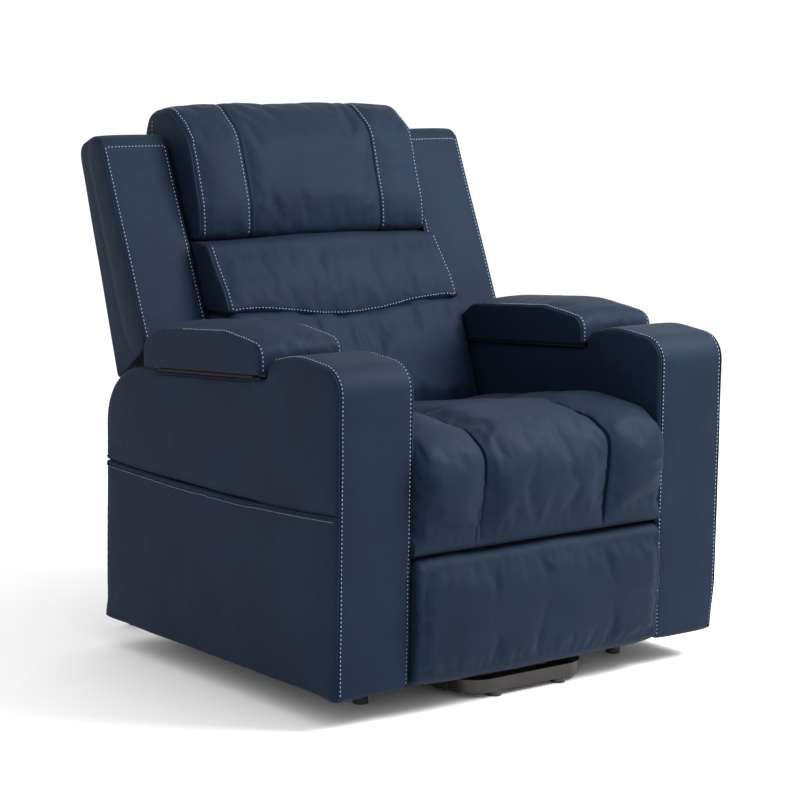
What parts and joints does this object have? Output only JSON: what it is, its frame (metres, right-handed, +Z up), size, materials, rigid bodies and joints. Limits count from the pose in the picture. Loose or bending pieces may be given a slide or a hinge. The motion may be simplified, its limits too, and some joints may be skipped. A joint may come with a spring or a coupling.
{
  "type": "lift recliner chair",
  "caption": "Padded powered armchair on a tilting lift base, with reclining winged back, fold-out footrest, storage arms under hinged lids and a side pocket.",
  "frame": {"origin": "middle of the chair's footprint, on the floor", "axes": "+Z up, the sitter faces -Y, +X is the sitter's left"},
  "size_m": [0.948, 0.9168, 1.0378],
  "materials": {
    "upholstery": "navy suede-like upholstery fabric with light topstitching",
    "back_cloth": "plain navy upholstery fabric",
    "dark_steel": "satin dark powder coat",
    "bright_steel": "zinc plated",
    "black_plastic": "fine grained",
    "button_plastic": "soft gloss",
    "plywood": "raw board"
  },
  "bodies": {
    "base": {"base_u_tube": "dark_steel", "base_cross_tube": "dark_steel", "base_rear_tube": "dark_steel", "base_feet": "black_plastic", "base_bracket_left": "dark_steel", "base_bracket_right": "dark_steel"},
    "lift_arms": {"lift_arm_frame": "dark_steel"},
    "guides": {"guide_links": "dark_steel"},
    "lift_motor": {"lift_actuator": "black_plastic"},
    "lift_ram": {"lift_rod": "bright_steel"},
    "chair": {"seat_rail_left": "dark_steel", "seat_rail_right": "dark_steel", "seat_cross_rails": "dark_steel", "lift_hangers": "dark_steel", "seat_springs": "bright_steel", "seat_cushion": "upholstery", "rear_panel": "back_cloth", "power_inlet": "black_plastic", "control_box": "black_plastic", "chair_glides": "black_plastic", "arm_outer_left": "upholstery", "arm_inner_left": "upholstery", "arm_front_left": "upholstery", "arm_rear_left": "upholstery", "tray_left": "black_plastic", "arm_outer_right": "upholstery", "pocket_panel_right": "upholstery", "pocket_liner": "back_cloth", "arm_inner_right": "upholstery", "arm_front_right": "upholstery", "arm_rear_right": "upholstery", "tray_right": "black_plastic", "lid_hinge_left": "dark_steel", "lid_hinge_right": "dark_steel", "handset_body": "black_plastic"},
    "backrest": {"back_frame": "dark_steel", "back_rear_panel": "back_cloth", "wing_left": "upholstery", "wing_right": "upholstery", "headrest": "upholstery", "lumbar_cushion": "upholstery", "lower_back_cushion": "upholstery"},
    "recline_motor": {"recline_actuator": "black_plastic"},
    "recline_ram": {"recline_rod": "bright_steel"},
    "footrest_motor": {"footrest_actuator": "black_plastic"},
    "footrest_ram": {"footrest_rod": "bright_steel"},
    "crank": {"footrest_crank": "dark_steel"},
    "links": {"footrest_links": "dark_steel"},
    "footrest": {"footrest_board": "plywood", "footrest_pad": "upholstery", "footrest_brackets": "dark_steel"},
    "lid_left": {"lid_board_left": "plywood", "lid_pad_left": "upholstery"},
    "lid_right": {"lid_board_right": "plywood", "lid_pad_right": "upholstery"},
    "button_1": {"button_1": "button_plastic"},
    "button_2": {"button_2": "button_plastic"},
    "button_3": {"button_3": "button_plastic"},
    "button_4": {"button_4": "button_plastic"}
  },
  "joints": [
    {"name": "lift", "type": "hinge", "parent": "base", "child": "lift_arms", "pos_m": [0, -0.2905, 0.075], "axis": [1, 0, 0], "range_deg": [0, 45]},
    {"name": "lift_tilt", "type": "hinge", "parent": "lift_arms", "child": "chair", "pos_m": [0, 0.1295, 0.105], "axis": [-1, 0, 0], "range_deg": [0, 18.01]},
    {"name": "guide_turn", "type": "hinge", "parent": "base", "child": "guides", "pos_m": [0, -0.3397, 0.0754], "axis": [1, 0, 0], "range_deg": [0, 52.8]},
    {"name": "lift_motor_turn", "type": "hinge", "parent": "base", "child": "lift_motor", "pos_m": [0, 0.2395, 0.062], "axis": [1, 0, 0], "range_deg": [0, 1.94]},
    {"name": "lift_extend", "type": "slide", "parent": "lift_motor", "child": "lift_ram", "axis": [0, -0.977, 0.2132], "range_m": [0, 0.0755]},
    {"name": "recline", "type": "hinge", "parent": "chair", "child": "backrest", "pos_m": [0, 0.1795, 0.345], "axis": [-1, 0, 0], "range_deg": [0, 45]},
    {"name": "recline_motor_turn", "type": "hinge", "parent": "chair", "child": "recline_motor", "pos_m": [0.08, -0.1305, 0.232], "axis": [1, 0, 0], "range_deg": [0, 2.31]},
    {"name": "recline_retract", "type": "slide", "parent": "recline_motor", "child": "recline_ram", "axis": [0, -0.9986, -0.0529], "range_m": [0, 0.0755]},
    {"name": "footrest_swing", "type": "hinge", "parent": "chair", "child": "crank", "pos_m": [0, -0.3605, 0.265], "axis": [-1, 0, 0], "range_deg": [0, 110]},
    {"name": "footrest_knee", "type": "hinge", "parent": "crank", "child": "links", "pos_m": [0, -0.3445, 0.082], "axis": [1, 0, 0], "range_deg": [0, 182.02]},
    {"name": "footrest_level", "type": "hinge", "parent": "links", "child": "footrest", "pos_m": [0, -0.3775, 0.215], "axis": [-1, 0, 0], "range_deg": [0, 162.02]},
    {"name": "footrest_motor_turn", "type": "hinge", "parent": "chair", "child": "footrest_motor", "pos_m": [-0.08, 0.0495, 0.232], "axis": [1, 0, 0], "range_deg": [0, 0.14]},
    {"name": "footrest_extend", "type": "slide", "parent": "footrest_motor", "child": "footrest_ram", "axis": [0, -0.9999, 0.0117], "range_m": [0, 0.0821]},
    {"name": "lid_left_open", "type": "hinge", "parent": "chair", "child": "lid_left", "pos_m": [0.4595, -0.21638, 0.58949], "axis": [0, 0.9969, -0.0785], "range_deg": [0, 90]},
    {"name": "lid_right_open", "type": "hinge", "parent": "chair", "child": "lid_right", "pos_m": [-0.4595, -0.21638, 0.58949], "axis": [0, -0.9969, 0.0785], "range_deg": [0, 90]},
    {"name": "press_1", "type": "slide", "parent": "chair", "child": "button_1", "axis": [1, 0, 0], "range_m": [0, 0.0015], "stiffness_N_per_m": 300},
    {"name": "press_2", "type": "slide", "parent": "chair", "child": "button_2", "axis": [1, 0, 0], "range_m": [0, 0.0015], "stiffness_N_per_m": 300},
    {"name": "press_3", "type": "slide", "parent": "chair", "child": "button_3", "axis": [1, 0, 0], "range_m": [0, 0.0015], "stiffness_N_per_m": 300},
    {"name": "press_4", "type": "slide", "parent": "chair", "child": "button_4", "axis": [1, 0, 0], "range_m": [0, 0.0015], "stiffness_N_per_m": 300}
  ],
  "couplings": [
    {"joint": "lift_tilt", "follows": "lift", "ratio": 0.4},
    {"joint": "guide_turn", "follows": "lift", "ratio": 1.1729},
    {"joint": "lift_motor_turn", "follows": "lift", "ratio": 0.042693},
    {"joint": "lift_extend", "follows": "lift", "m_per_rad": 0.095898},
    {"joint": "recline_motor_turn", "follows": "recline", "ratio": 0.050996},
    {"joint": "recline_retract", "follows": "recline", "m_per_rad": 0.095867},
    {"joint": "footrest_knee", "follows": "footrest_swing", "ratio": 1.6545},
    {"joint": "footrest_level", "follows": "footrest_swing", "ratio": 1.4727},
    {"joint": "footrest_motor_turn", "follows": "footrest_swing", "ratio": 0.001108},
    {"joint": "footrest_extend", "follows": "footrest_swing", "m_per_rad": 0.042665}
  ]
}
